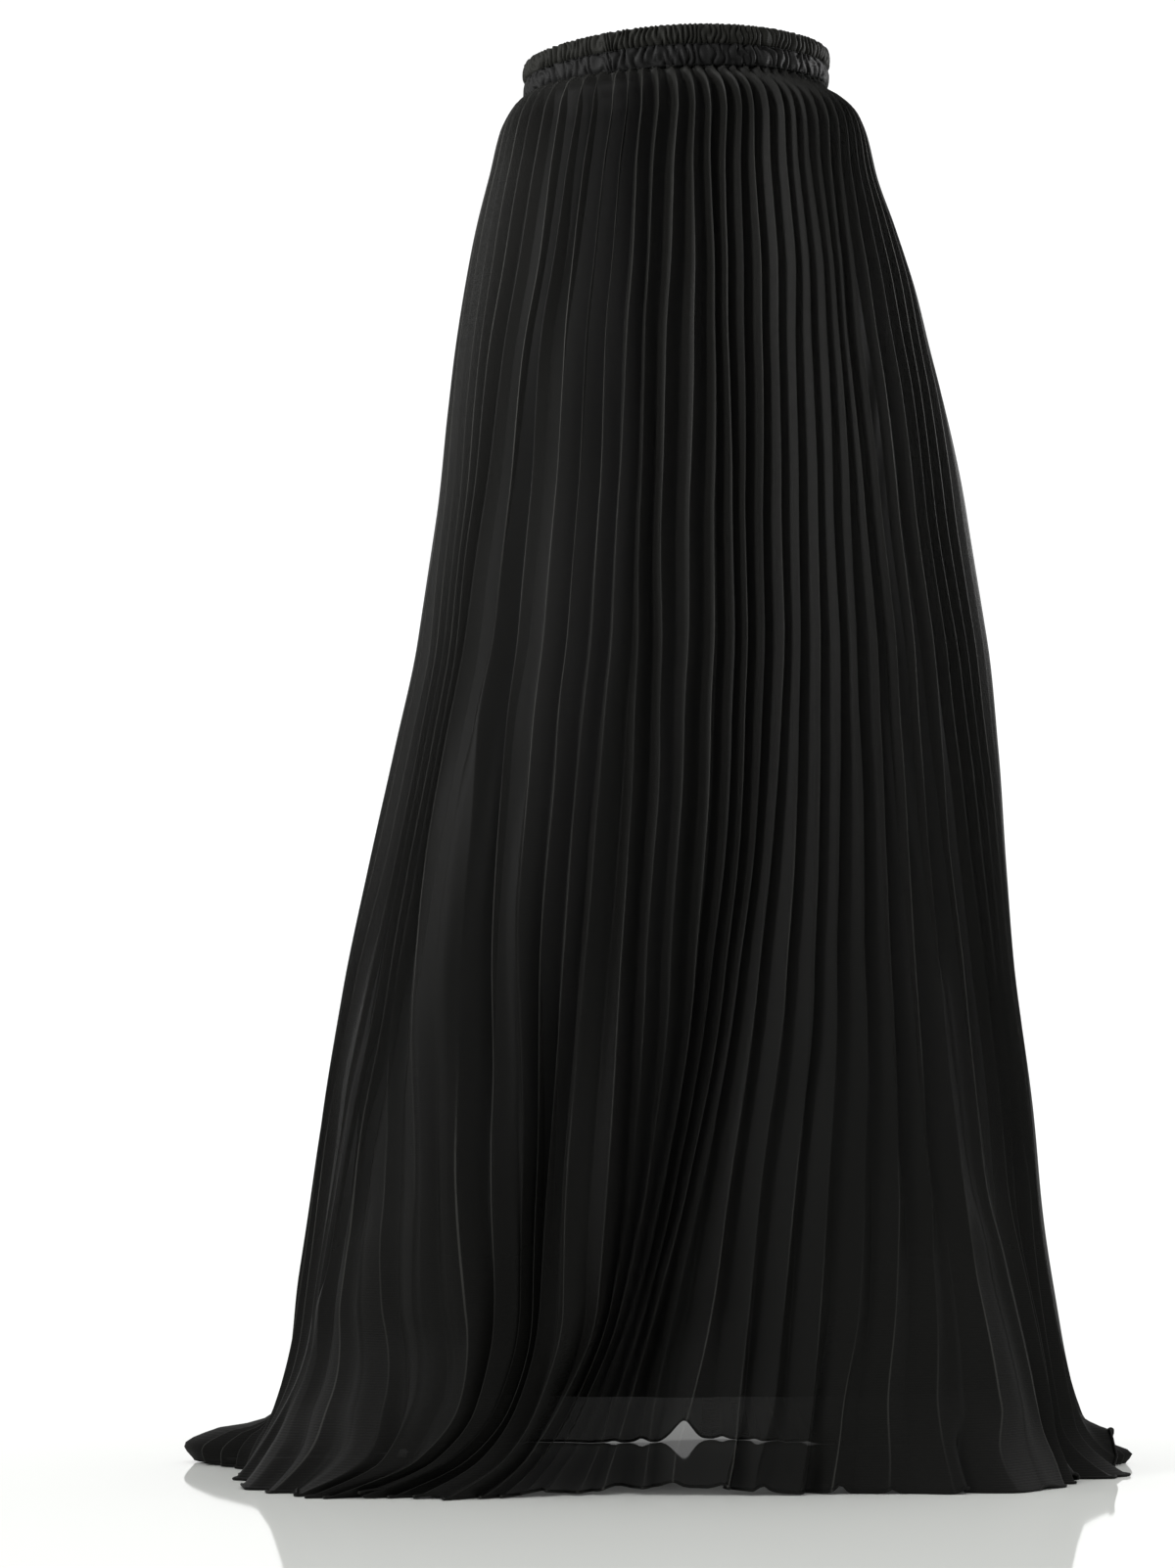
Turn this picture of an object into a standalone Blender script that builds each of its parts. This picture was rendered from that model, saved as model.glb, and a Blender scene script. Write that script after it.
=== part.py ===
"""A floor-length skirt of accordion-pleated crepe chiffon, hanging as it is worn.

Two pleated panels hang from two gathered elastic casings, over a shorter lining of two A-line
panels. Metres, +Z up. The origin is the middle of the waist, half way up the casings, the front
faces -Y, and the floor is WAIST_HEIGHT below. An azimuth is measured round the waist from the
front, towards the wearer's left (+X).

Every wall is a loft through rings. A ring is worked out in polar form round the body's axis: the
azimuth and the radius of each point are functions of the pleat number and the height, so a wall
never meets itself.
"""

import bpy
import numpy as np

# Driving dimensions.
WAIST_HEIGHT = 1.050  # from the floor to the middle of the casings
CASING_HEIGHT = 0.016  # each of the two, at the front
SIDE_DIP = 0.004  # the casings are this much lower at the sides, where the elastic bites
WAIST_TILT = 0.005  # the waist is up by this at +X and down at -X, with the hip pushed out
SEAM_GAP = 0.0003  # between two pieces that are sewn together
CLOTH = 0.001  # wall of the pleated cloth and of the lining
PLEAT_LEG = 0.016  # along the cloth, from a ridge to the next valley
PANEL_PLEATS = 34
PLEATS = 2 * PANEL_PLEATS
HEM_CLEARANCE = 0.003  # from the floor to the hem
LINING_HEM = 0.066  # from the floor to the hem of the lining
LINING_CLEARANCE = 0.0025  # between the lining and the pleats

# Pleats are caught shallow in the waist seam and reach their full depth a little below it.
SEAM_PLEAT_DEPTH = 0.003
PLEAT_OPENING = 0.035  # length over which they deepen
FLATTEST_PLEAT = 0.002  # what is left of a pleat where the cloth is pulled open

# The casings, measured out from the ring where the cloth is sewn in.
CASING_INSIDE = -0.0042
CASING_OUTSIDE = 0.0008
CASING_BULGE = 0.0010
CASING_RINGS = (0, 0.3, 0.7, 1)  # shares of its height
UPPER_STEP = 0.0008  # the upper casing stands out over the lower one
UPPER_GATHERS, UPPER_GATHER_DEPTH = 72, 0.0012
LOWER_GATHERS, LOWER_GATHER_DEPTH = 48, 0.0016
LOWER_SLANT = 0.35  # how far a pucker leans over the height of the casing, in gathers

# The skirt's middle surface: an oval for each height above the floor. The sway moves the oval
# sideways, where the hip is pushed out.
SECTION_COLUMNS = ("height", "half_width", "front", "back", "sway")
SECTIONS = (
    (1.068, 0.1130, 0.095, 0.088, 0.000),
    (1.034, 0.1130, 0.095, 0.088, 0.000),
    (1.028, 0.1220, 0.102, 0.096, 0.002),
    (1.018, 0.1290, 0.107, 0.103, 0.004),
    (1.000, 0.1335, 0.110, 0.109, 0.005),
    (0.970, 0.1400, 0.114, 0.115, 0.005),
    (0.930, 0.1520, 0.119, 0.124, 0.007),
    (0.885, 0.1635, 0.126, 0.133, 0.010),
    (0.840, 0.1725, 0.133, 0.141, 0.012),
    (0.795, 0.1810, 0.139, 0.148, 0.015),
    (0.710, 0.1945, 0.149, 0.159, 0.019),
    (0.620, 0.2085, 0.161, 0.171, 0.019),
    (0.535, 0.2215, 0.172, 0.183, 0.014),
    (0.445, 0.2340, 0.182, 0.194, 0.007),
    (0.355, 0.2465, 0.191, 0.204, 0.002),
    (0.270, 0.2585, 0.199, 0.213, 0.001),
    (0.180, 0.2680, 0.206, 0.223, 0.000),
    (0.095, 0.2810, 0.210, 0.231, 0.001),
    (0.040, 0.2900, 0.212, 0.236, 0.002),
    (0.000, 0.2945, 0.213, 0.240, 0.003),
)

# Where the pleats run. Each row follows one ridge, counted from the left side seam across the
# front and on round the back, and gives its azimuth in degrees at LEVELS above the floor. Rows
# that draw together make a bunch of closed pleats, and rows that part make an open panel.
LEVELS = (0.965, 0.800, 0.580, 0.360, 0.220, 0.090, 0.000)
RIDGE_COLUMNS = ("ridge", "hip", "thigh", "knee", "calf", "shin", "ankle", "hem")
RIDGES = (
    (1, -91, -91, -88, -85, -84, -86, -88),
    (4, -79, -79, -72, -69, -64, -62, -68),
    (5, -75, -75, -66, -65, -62, -59, -64),
    (7, -66, -67, -60, -59, -55, -51, -57),
    (8, -58, -62, -58, -54, -49, -47, -53),
    (9, -53, -57, -51, -45, -41, -45, -50),
    (11, -41, -45, -44, -38, -34, -33, -41),
    (13, -28, -32, -32, -29, -26, -27, -36),
    (15, -16, -21, -21, -19, -19, -21, -32),
    (16, -10, -15, -15, -12, -12, -16, -29),
    (17, -3, -9, -9, -7, -8, -13, -27),
    (19, 10, 5, 3, 4, -1, -8, -23),
    (21, 21, 14, 11, 10, 4, -3, -17),
    (23, 32, 24, 20, 17, 12, 8, -5),
    (26, 48, 38, 34, 33, 30, 28, 19),
    (29, 63, 51, 48, 50, 51, 49, 41),
    (31, 74, 61, 59, 62, 64, 63, 59),
    (34, 90, 80, 77, 83, 84, 79, 78),
    (38, 110, 100, 98, 100, 98, 97, 98),
    (41, 125, 118, 114, 112, 108, 106, 110),
    (44, 141, 138, 135, 134, 135, 136, 134),
    (48, 161, 160, 159, 160, 163, 164, 160),
    (51, 176, 176, 176, 175, 174, 173, 174),
    (54, 191, 192, 193, 193, 192, 191, 194),
    (58, 211, 213, 215, 218, 220, 221, 217),
    (61, 226, 229, 231, 231, 230, 230, 232),
    (64, 242, 245, 247, 249, 251, 252, 249),
    (67, 258, 260, 262, 264, 266, 267, 264),
)

# The largest folds: the cloth round one ridge is pushed out, or in where the push is negative.
# The fold fades over so many pleats on each side, and comes in between the two heights.
FOLD_COLUMNS = ("ridge", "pleats_before", "pleats_after", "push", "starts", "full")
FOLDS = (
    (8.4, 1.2, 0.7, 0.009, 0.66, 0.48),
    (9.6, 0.6, 1.3, -0.009, 0.90, 0.66),
    (10.6, 1.0, 0.9, 0.010, 0.36, 0.16),
    (13.0, 1.4, 1.5, -0.010, 0.48, 0.20),
    (15.6, 1.2, 1.0, 0.015, 0.42, 0.16),
    (19.5, 1.8, 2.6, -0.011, 0.50, 0.18),
    (26.0, 2.5, 2.5, 0.006, 0.40, 0.10),
    (30.5, 1.2, 1.4, 0.012, 0.34, 0.10),
    (32.5, 0.9, 1.2, -0.010, 0.34, 0.12),
    (41.0, 1.5, 1.5, -0.011, 0.50, 0.16),
    (45.0, 1.6, 1.6, 0.012, 0.45, 0.15),
    (51.0, 1.6, 1.6, -0.012, 0.60, 0.20),
    (55.5, 2.0, 1.6, 0.013, 0.50, 0.15),
    (61.0, 1.5, 1.5, -0.011, 0.45, 0.15),
    (64.5, 1.8, 1.8, 0.012, 0.40, 0.12),
)

# Where the hem breaks on the floor: at an azimuth it runs out by the reach, over the rise above
# the hem, and its edge is turned up by the lift. Azimuths in degrees.
LOBE_COLUMNS = ("azimuth", "spread_before", "spread_after", "reach", "rise", "lift")
LOBES = (
    (-101, 9, 9, 0.076, 0.040, 0.003),
    (-50, 30, 24, 0.096, 0.115, -0.002),
    (0, 16, 16, 0.000, 0.100, 0.005),
    (48, 10, 20, 0.040, 0.070, 0.000),
    (80, 9, 8, 0.038, 0.040, 0.000),
    (93, 6, 7, 0.030, 0.012, 0.019),
    (130, 15, 17, 0.050, 0.120, 0.000),
    (174, 16, 14, 0.070, 0.150, 0.000),
    (214, 14, 13, 0.048, 0.110, 0.004),
)

# Rings of the pleated wall and of the lining, as shares of the way from the waist seam down.
PLEAT_RINGS = (
    0, 0.009, 0.026, 0.060, 0.110, 0.180, 0.260, 0.350, 0.440, 0.530,
    0.620, 0.700, 0.775, 0.840, 0.895, 0.935, 0.965, 0.985, 1,
)  # fmt: skip
LINING_RINGS = (0, 0.009, 0.035, 0.10, 0.20, 0.35, 0.55, 0.78, 1)
LINING_COLUMNS = 24  # facets across one lining panel


def column(table, names, name):
    """One named column of a table, as an array."""
    return np.array([row[names.index(name)] for row in table], float)


def smooth(at, xs, ys):
    """A monotone cubic through the points xs, ys (Fritsch and Carlson), for an array of places."""
    steps = np.diff(xs)
    slopes = np.diff(ys) / steps
    before, after = slopes[:-1], slopes[1:]
    same_way = before * after > 0
    inner = np.where(
        same_way, 2 * before * after / np.where(same_way, before + after, 1), 0
    )
    tangents = np.concatenate([slopes[:1], inner, slopes[-1:]])
    i = np.clip(np.searchsorted(xs, at) - 1, 0, len(steps) - 1)
    t = np.clip((at - xs[i]) / steps[i], 0, 1)
    return (
        ys[i] * (1 + 2 * t) * (1 - t) ** 2
        + ys[i + 1] * t * t * (3 - 2 * t)
        + tangents[i] * steps[i] * t * (1 - t) ** 2
        - tangents[i + 1] * steps[i] * t * t * (1 - t)
    )


def ease(x):
    """A smooth step from 0 to 1."""
    x = np.clip(x, 0, 1)
    return x * x * (3 - 2 * x)


def bell(distance, before, after):
    """A hump that is 1 at 0 and fades over a different length on each side."""
    return np.exp(-((distance / np.where(distance < 0, before, after)) ** 2))


def azimuth_of(ridge, height):
    """The azimuth, in radians, of a place between ridges at a height above the floor."""
    rows = column(RIDGES, RIDGE_COLUMNS, "ridge")
    rows = np.concatenate([rows[-2:] - PLEATS, rows, rows[:2] + PLEATS])
    at_levels = []
    for name in RIDGE_COLUMNS[1:]:
        turns = column(RIDGES, RIDGE_COLUMNS, name)
        turns = np.concatenate([turns[-2:] - 360, turns, turns[:2] + 360])
        at_levels.append(smooth(ridge, rows, turns))
    at_levels = np.array(at_levels[::-1])
    levels = np.array(LEVELS[::-1])
    # A blend between two levels, half straight and half eased, keeps the ridges in their order.
    i = np.clip(np.searchsorted(levels, height) - 1, 0, len(levels) - 2)
    share = np.clip((height - levels[i]) / (levels[i + 1] - levels[i]), 0, 1)
    share = (share + ease(share)) / 2
    lower = np.take_along_axis(at_levels, i[None], 0)[0]
    upper = np.take_along_axis(at_levels, i[None] + 1, 0)[0]
    return np.radians(lower + (upper - lower) * share)


def section_radius(azimuth, height):
    """The radius of the oval section: half a width and a front or back depth, as an ellipse."""
    order = slice(None, None, -1)
    heights = column(SECTIONS, SECTION_COLUMNS, "height")[order]
    half_width, front, back = (
        smooth(height, heights, column(SECTIONS, SECTION_COLUMNS, name)[order])
        for name in ("half_width", "front", "back")
    )
    depth = np.where(np.cos(azimuth) > 0, front, back)
    return 1 / np.hypot(np.sin(azimuth) / half_width, np.cos(azimuth) / depth)


def sway(height):
    """How far the section's middle lies towards +X."""
    heights = column(SECTIONS, SECTION_COLUMNS, "height")[::-1]
    return smooth(height, heights, column(SECTIONS, SECTION_COLUMNS, "sway")[::-1])


def around(difference):
    """An angle in degrees brought between -180 and 180."""
    return (difference + 180) % 360 - 180


def waist_line(azimuth, share):
    """Height of the waist above the floor: share 0 at the seam with the pleats, 1 at the top edge."""
    seam = WAIST_HEIGHT - CASING_HEIGHT + WAIST_TILT * np.sin(azimuth)
    return seam + share * (2 * CASING_HEIGHT - SIDE_DIP * np.sin(azimuth) ** 2)


def hem_lift(azimuth):
    """Height of the hem above the floor."""
    lift = np.full_like(azimuth, HEM_CLEARANCE)
    for turn, before, after, _, _, rise in LOBES:
        lift += rise * bell(around(np.degrees(azimuth) - turn), before, after)
    return lift


def lobe_reach(azimuth, above_hem):
    """How far the cloth runs out over the floor, this far above its hem."""
    reach = np.zeros_like(azimuth)
    for turn, before, after, length, rise, _ in LOBES:
        spread = bell(around(np.degrees(azimuth) - turn), before, after)
        reach += length * spread * np.clip(1 - above_hem / rise, 0, 1) ** 2
    return reach


def fold_push(ridge, height):
    """How far the largest folds push the cloth out."""
    push = np.zeros_like(height)
    for centre, before, after, out, starts, full in FOLDS:
        off = (ridge - centre + PLEATS / 2) % PLEATS - PLEATS / 2
        push += out * bell(off, before, after) * ease((starts - height) / (starts - full))
    return push


def place(azimuth, radius, height):
    """Points at these polar coordinates round the section's middle."""
    return np.stack(
        [
            sway(height) + radius * np.sin(azimuth),
            -radius * np.cos(azimuth),
            height - WAIST_HEIGHT,
        ],
        axis=-1,
    )


def pleat_layers(turns, shares):
    """The outer and inner points of the pleated cloth, and its azimuths.

    turns counts pleats from the left side seam, and shares runs from 0 at the waist seam to 1 at
    the hem. A ridge is half way between whole turns. The cloth does not stretch: where ridges
    stand a pitch apart, a pleat is sqrt(leg^2 - (pitch/2)^2) deep.
    """
    ridge = turns + 0.5
    top = waist_line(azimuth_of(ridge, np.full_like(ridge, WAIST_HEIGHT)), 0) - SEAM_GAP
    hem = hem_lift(azimuth_of(ridge, np.zeros_like(ridge)))
    height = top + (hem - top) * shares
    azimuth = azimuth_of(ridge, height)
    radius = section_radius(azimuth, height) + fold_push(ridge, height)
    radius = radius + lobe_reach(azimuth, height - hem)

    pitch = radius * (azimuth_of(ridge + 0.5, height) - azimuth_of(ridge - 0.5, height))
    full = np.sqrt(np.maximum(PLEAT_LEG**2 - (pitch / 2) ** 2, FLATTEST_PLEAT**2))
    opening = ease((top - height) / PLEAT_OPENING)
    depth = SEAM_PLEAT_DEPTH + (full - SEAM_PLEAT_DEPTH) * opening
    zigzag = 1 - 4 * np.abs((turns + 0.5) % 1 - 0.5)
    wall = CLOTH * np.hypot(pitch / 2, depth) / (pitch / 2)
    outer = radius - zigzag * depth / 2
    return place(azimuth, outer, height), place(azimuth, outer - wall, height), azimuth


def part_seams(layers, azimuth):
    """Draws the two side edges of a panel back from the seam line."""
    for edge, way in ((0, 1), (-1, -1)):
        along = np.stack(
            [np.cos(azimuth[:, edge]), np.sin(azimuth[:, edge]), 0 * azimuth[:, edge]], -1
        )
        for layer in layers:
            layer[:, edge] += way * along * SEAM_GAP / 2


def lining_layers(first_turn):
    """The outer and inner points of a lining panel between two side seams, and its azimuths.

    Each ring lies inside the deepest valley of the pleats at its height.
    """
    all_turns = np.arange(0, PLEATS + 0.25, 0.5)
    seams = np.array([first_turn, first_turn + PANEL_PLEATS]) + 0.5
    outer, inner, turned = [], [], []
    for share in LINING_RINGS:
        # The same share of the way down for the pleats as for the ring of the lining.
        of_pleats = share * (WAIST_HEIGHT - LINING_HEM) / (WAIST_HEIGHT - HEM_CLEARANCE)
        _, valleys, turned_pleats = pleat_layers(all_turns, np.full_like(all_turns, of_pleats))
        height = valleys[:, 2] + WAIST_HEIGHT
        reach = np.hypot(valleys[:, 0] - sway(height), valleys[:, 1])
        deepest = np.max(section_radius(turned_pleats, height) - reach)

        level = WAIST_HEIGHT + (LINING_HEM - WAIST_HEIGHT) * share
        azimuth = np.linspace(*azimuth_of(seams, np.full(2, level)), LINING_COLUMNS + 1)
        top = waist_line(azimuth, 0) - SEAM_GAP
        height = top + (LINING_HEM - top) * share
        clearance = SEAM_GAP + LINING_CLEARANCE * ease((top - height) / PLEAT_OPENING)
        radius = section_radius(azimuth, height) - deepest - clearance
        outer.append(place(azimuth, radius, height))
        inner.append(place(azimuth, radius - CLOTH, height))
        turned.append(azimuth)
    return np.array(outer), np.array(inner), np.array(turned)


def casing_layers(shares, ends, step, gathers, depth, slant):
    """The outer and inner rings of a gathered casing: puckers outside, plain inside.

    shares are its lower and upper edges on the waist line, and ends what each is drawn back by.
    """
    index = np.arange(2 * gathers)
    outer, inner = [], []
    for ring in CASING_RINGS:
        azimuth = (index / 2 + slant * ring) * 2 * np.pi / gathers
        low = waist_line(azimuth, shares[0]) + ends[0]
        high = waist_line(azimuth, shares[1]) - ends[1]
        height = low + (high - low) * ring
        pucker = depth / 2 * np.where(index % 2, 1, -1)
        bulge = CASING_BULGE * (1 - (2 * ring - 1) ** 2)
        radius = section_radius(azimuth, np.full_like(azimuth, WAIST_HEIGHT))
        outer.append(place(azimuth, radius + CASING_OUTSIDE + step + bulge + pucker, height))
        inner.append(place(azimuth, radius + CASING_INSIDE, height))
    return np.array(outer[::-1]), np.array(inner[::-1])


def add_wall(name, outer, inner, closed, material, collection):
    """A closed wall between an outer and an inner grid of points, both rows from the top down.

    Quads join neighbouring points of each grid, and a strip of quads closes each free edge.
    """
    rows, count = outer.shape[:2]
    index = np.arange(rows * count).reshape(rows, count)
    if closed:
        index = np.concatenate([index, index[:, :1]], axis=1)
    under = index + rows * count

    def strip(a, b, c, d):
        return np.stack([a, b, c, d], axis=-1).reshape(-1, 4)

    faces = [
        strip(index[:-1, :-1], index[1:, :-1], index[1:, 1:], index[:-1, 1:]),
        strip(under[:-1, :-1], under[:-1, 1:], under[1:, 1:], under[1:, :-1]),
        strip(index[0, :-1], index[0, 1:], under[0, 1:], under[0, :-1]),
        strip(index[-1, :-1], under[-1, :-1], under[-1, 1:], index[-1, 1:]),
    ]
    if not closed:
        faces.append(strip(index[:-1, 0], under[:-1, 0], under[1:, 0], index[1:, 0]))
        faces.append(strip(index[:-1, -1], index[1:, -1], under[1:, -1], under[:-1, -1]))
    points = np.concatenate([outer.reshape(-1, 3), inner.reshape(-1, 3)])
    mesh = bpy.data.meshes.new(name)
    mesh.from_pydata(points.tolist(), [], np.concatenate(faces).tolist())
    mesh.validate()
    mesh.materials.append(material)
    wall = bpy.data.objects.new(name, mesh)
    collection.objects.link(wall)
    return wall


def add_material(name, colour, roughness, sheen):
    """A plain cloth material."""
    material = bpy.data.materials.new(name)
    material.use_nodes = True
    shader = material.node_tree.nodes["Principled BSDF"]
    shader.inputs["Base Color"].default_value = (*colour, 1)
    shader.inputs["Roughness"].default_value = roughness
    shader.inputs["Metallic"].default_value = 0
    shader.inputs["Sheen Weight"].default_value = sheen
    material.diffuse_color = (*colour, 1)
    return material


def add_panel(name, first_turn, material, collection):
    """One pleated panel, from a side seam round to the next."""
    turns = first_turn + np.arange(0, PANEL_PLEATS + 0.25, 0.5)
    turns, shares = np.meshgrid(turns, np.array(PLEAT_RINGS))
    outer, inner, azimuth = pleat_layers(turns, shares)
    part_seams((outer, inner), azimuth)
    add_wall(name, outer, inner, False, material, collection)


def add_lining(name, first_turn, material, collection):
    """One A-line lining panel, under the pleated panel with the same side seams."""
    outer, inner, azimuth = lining_layers(first_turn)
    part_seams((outer, inner), azimuth)
    add_wall(name, outer, inner, False, material, collection).data.shade_smooth()


def add_casings(material, collection):
    """The two elastic casings, one over the other, a seam's gap apart."""
    half_gap = SEAM_GAP / 2
    for name, shares, ends, step, gathers, depth, slant in (
        ("waistband_upper", (0.5, 1), (half_gap, 0), UPPER_STEP,
         UPPER_GATHERS, UPPER_GATHER_DEPTH, 0),
        ("waistband_lower", (0, 0.5), (0, half_gap), 0,
         LOWER_GATHERS, LOWER_GATHER_DEPTH, LOWER_SLANT),
    ):  # fmt: skip
        outer, inner = casing_layers(shares, ends, step, gathers, depth, slant)
        add_wall(name, outer, inner, True, material, collection)


def clear_scene():
    for thing in list(bpy.data.objects):
        bpy.data.objects.remove(thing, do_unlink=True)


def main():
    clear_scene()
    skirt = bpy.data.collections.new("pleated_maxi_skirt")
    bpy.context.scene.collection.children.link(skirt)
    chiffon = add_material("black_crepe_chiffon", (0.010, 0.010, 0.010), 0.62, 0.3)
    casing = add_material("black_gathered_casing", (0.012, 0.012, 0.011), 0.68, 0.3)
    lining = add_material("black_lining", (0.006, 0.006, 0.006), 0.55, 0.0)
    add_casings(casing, skirt)
    add_panel("skirt_front", 0, chiffon, skirt)
    add_panel("skirt_back", PANEL_PLEATS, chiffon, skirt)
    add_lining("lining_front", 0, lining, skirt)
    add_lining("lining_back", PANEL_PLEATS, lining, skirt)


main()
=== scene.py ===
"""Looks of a floor-length skirt of accordion-pleated crepe chiffon, hanging as it is worn.

The pleated panels, the lining, the gathered casings, the hems and the stitching are surfaces worked
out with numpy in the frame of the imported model: metres, +Z up, the origin in the middle of the
waist and -Y to the wearer's front. An azimuth is measured round the waist from the front, towards
the wearer's left (+X).
"""

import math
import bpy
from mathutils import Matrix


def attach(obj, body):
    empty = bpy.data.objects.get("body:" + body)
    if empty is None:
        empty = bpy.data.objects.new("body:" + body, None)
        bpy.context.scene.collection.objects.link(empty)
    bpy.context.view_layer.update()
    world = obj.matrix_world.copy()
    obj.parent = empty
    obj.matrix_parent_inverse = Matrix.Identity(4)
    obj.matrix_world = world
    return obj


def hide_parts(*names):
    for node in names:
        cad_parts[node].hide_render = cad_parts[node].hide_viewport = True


bl_info = {
    "name": "Pleated Maxi Skirt",
    "version": (1, 0, 0),
    "blender": (4, 5, 0),
    "location": "View3D > Sidebar > Skirt",
    "description": "Builds an accordion-pleated chiffon skirt with its lining and gathered waist",
    "category": "Object",
}

import bpy
import numpy as np

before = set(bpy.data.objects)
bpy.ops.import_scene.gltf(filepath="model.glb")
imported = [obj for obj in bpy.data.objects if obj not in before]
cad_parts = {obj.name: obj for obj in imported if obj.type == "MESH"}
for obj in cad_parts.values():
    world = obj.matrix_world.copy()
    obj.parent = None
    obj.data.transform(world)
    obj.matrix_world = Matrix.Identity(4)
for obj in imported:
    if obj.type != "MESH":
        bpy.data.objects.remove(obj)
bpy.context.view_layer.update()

PANEL_PLEATS = 34
PLEATS = 2 * PANEL_PLEATS
SEAM_GAP = 0.0003  # between two pieces that are sewn together
CASING_OVERLAP = 0.0025  # how far the pleats run up behind the lower casing
SEAM_PLEAT_DEPTH = 0.0065  # depth of the pleats where they are sewn in at the waist
SEAM_SHARPNESS = 0.93  # how sharp their creases are there
FLATTEST_PLEAT = 0.0055  # what is left of a pleat where the cloth is pulled open
FRONT_RIDGE = 18  # the ridge in the middle of the front
STEADY_PLEATS = 14  # so many ridges on each side of it wander the least
WANDER = 0.02  # how far a ridge wanders, in pleats
HIDDEN_WANDER = 0.09  # how much further the others wander
UNEVEN_DEPTH = 0.10  # by this share a pleat is deeper or shallower along its length
CLOTH_INSET = 0.0005  # from the outside of the cloth to its middle

# Lengths below the waist seam over which these reach their full size.
PLEAT_OPENING = 0.028  # the depth of the pleats
PUFF = 0.007  # the puff of the cloth
SHARPENING = 0.035  # the sharpness of the creases
WANDERING = 0.05
DEEPENING = 0.06  # the uneven depth
LEANING = 0.08

# How far the pleats lie over sideways: a mean, an uneven part, and the places where they lie over
# the most (ridge, pleats before, pleats after, lean towards +X).
MEAN_LEAN = 0.04
UNEVEN_LEAN = 0.16
LEANS = (
    (23, 5, 7, 0.34),
    (7, 6, 7, -0.30),
)

# How many plies of chiffon lie together. The front hangs in one ply down to the height where its
# pleats start to close, and between two of its pleats it stays open down to the floor.
BARE = 0.20  # the share of light that passes through one ply
OPEN_MIDDLE = (12.0, 27.0)  # the two pleats
OPEN_EDGES = (4, 5)  # the pleats over which the cloth closes beside them
CLOSING_STARTS = 0.26
CLOSING_LENGTH = 0.16
BACK_CLOSES = (35.5, 2)  # past this pleat, and over so many, the back closes to two plies
CLOSED_PLIES = 2  # plies that closing adds to the front, and folding over to the ends
FOLDED_SPREAD = 1.5  # how much wider than its lobe the cloth is folded over
HEM_PLIES = 3  # in the rolled hems

# The lining: its width at the hem, its mean width and its soft waves.
LINING_HALF_THICKNESS = 0.0004
LINING_WAVE_DEPTH = 0.009
WAVES_A_PLEAT = 0.21
STILL_EDGES = 0.06  # the share of the panel at each side over which the waves fade

# The casings: the strip that shows, and for each its name, where it starts and ends on the waist
# line, the depth and slant of its gathers, how far it stands out and how rough its cloth is.
CASINGS = (
    ("upper", 0.5, 1, 0.0028, 0.30, 0.0008, 0.62),
    ("lower", 0, 0.5, 0.0031, 0.90, 0.0, 0.58),
)
STRAP_MIDDLE = -0.0017  # from the section of the waist to the middle of the strap
STRAP_HALF = 0.0025  # half the thickness of the strap
STRAP_BULGE = 0.0008
CLOTH_RADIUS = 0.16  # radius of the ring that the casings' cloth would make without its gathers

# Rows of stitches: name, place on the waist line and distance out from the section.
STITCH_ROWS = (
    ("stitches_between_casings", 0.505, 0.0017),
    ("stitches_at_waist_seam", 0.035, 0.0012),
)
STITCHED_LENGTH = 0.66  # of one row
STITCH_PITCH = 1.4  # from one stitch to the next, in stitches
THREAD_RADIUS = 0.00028
THREAD_TWIST = 1 / 1800  # length of one turn of the thread's twist

# How finely the surfaces are divided.
COLUMNS_A_PLEAT = 16
PANEL_ROWS = 170
LINING_COLUMNS = 181
LINING_ROWS = 90
COLUMNS_A_GATHER = 14
STRAP_STEPS = 44
TUBE_SIDES = 6
POINTED = 1e-5  # radius of a tube's closed end

# The stage. A light has a name, a place, a point it faces, a width, a height, a power in watts and
# a spread in degrees. The camera's height is above the floor.
FLOOR_HALF = 12.0
WORLD_STRENGTH = 1.12
LIGHTS = (
    ("key_left", (-3.0, -0.5, 1.0), (0, 0, 0.25), 0.6, 0.9, 9.5, 34),
    ("key_front", (-2.0, -2.2, 1.1), (0.42, 0, 0.05), 0.6, 1.0, 9, 36),
    ("rim_right", (2.2, 0.8, 0.3), (0.17, 0, -0.17), 0.3, 0.4, 2.5, 20),
)
LENS = 101.8
SENSOR = 36
CAMERA_DISTANCE = 3.32
CAMERA_HEIGHT = 0.276
CAMERA_PITCH = 4.04  # degrees up from level
CAMERA_TURN = 1.16  # degrees towards -X

# Smooth noise: the seed of its draws, and the length over which it changes.
NOISE_ROWS = 64  # rows of draws before it repeats
NOISE = {
    "wander": (11, 0.31),
    "small wander": (12, 0.11),
    "pleat depth": (21, 0.40),
    "lean": (31, 0.50),
    "lining": (41, 0.4),
    "gathers": (51, 1.1),
    "gather depth": (52, 1.3),
    "small gathers": (53, 0.9),
}

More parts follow.
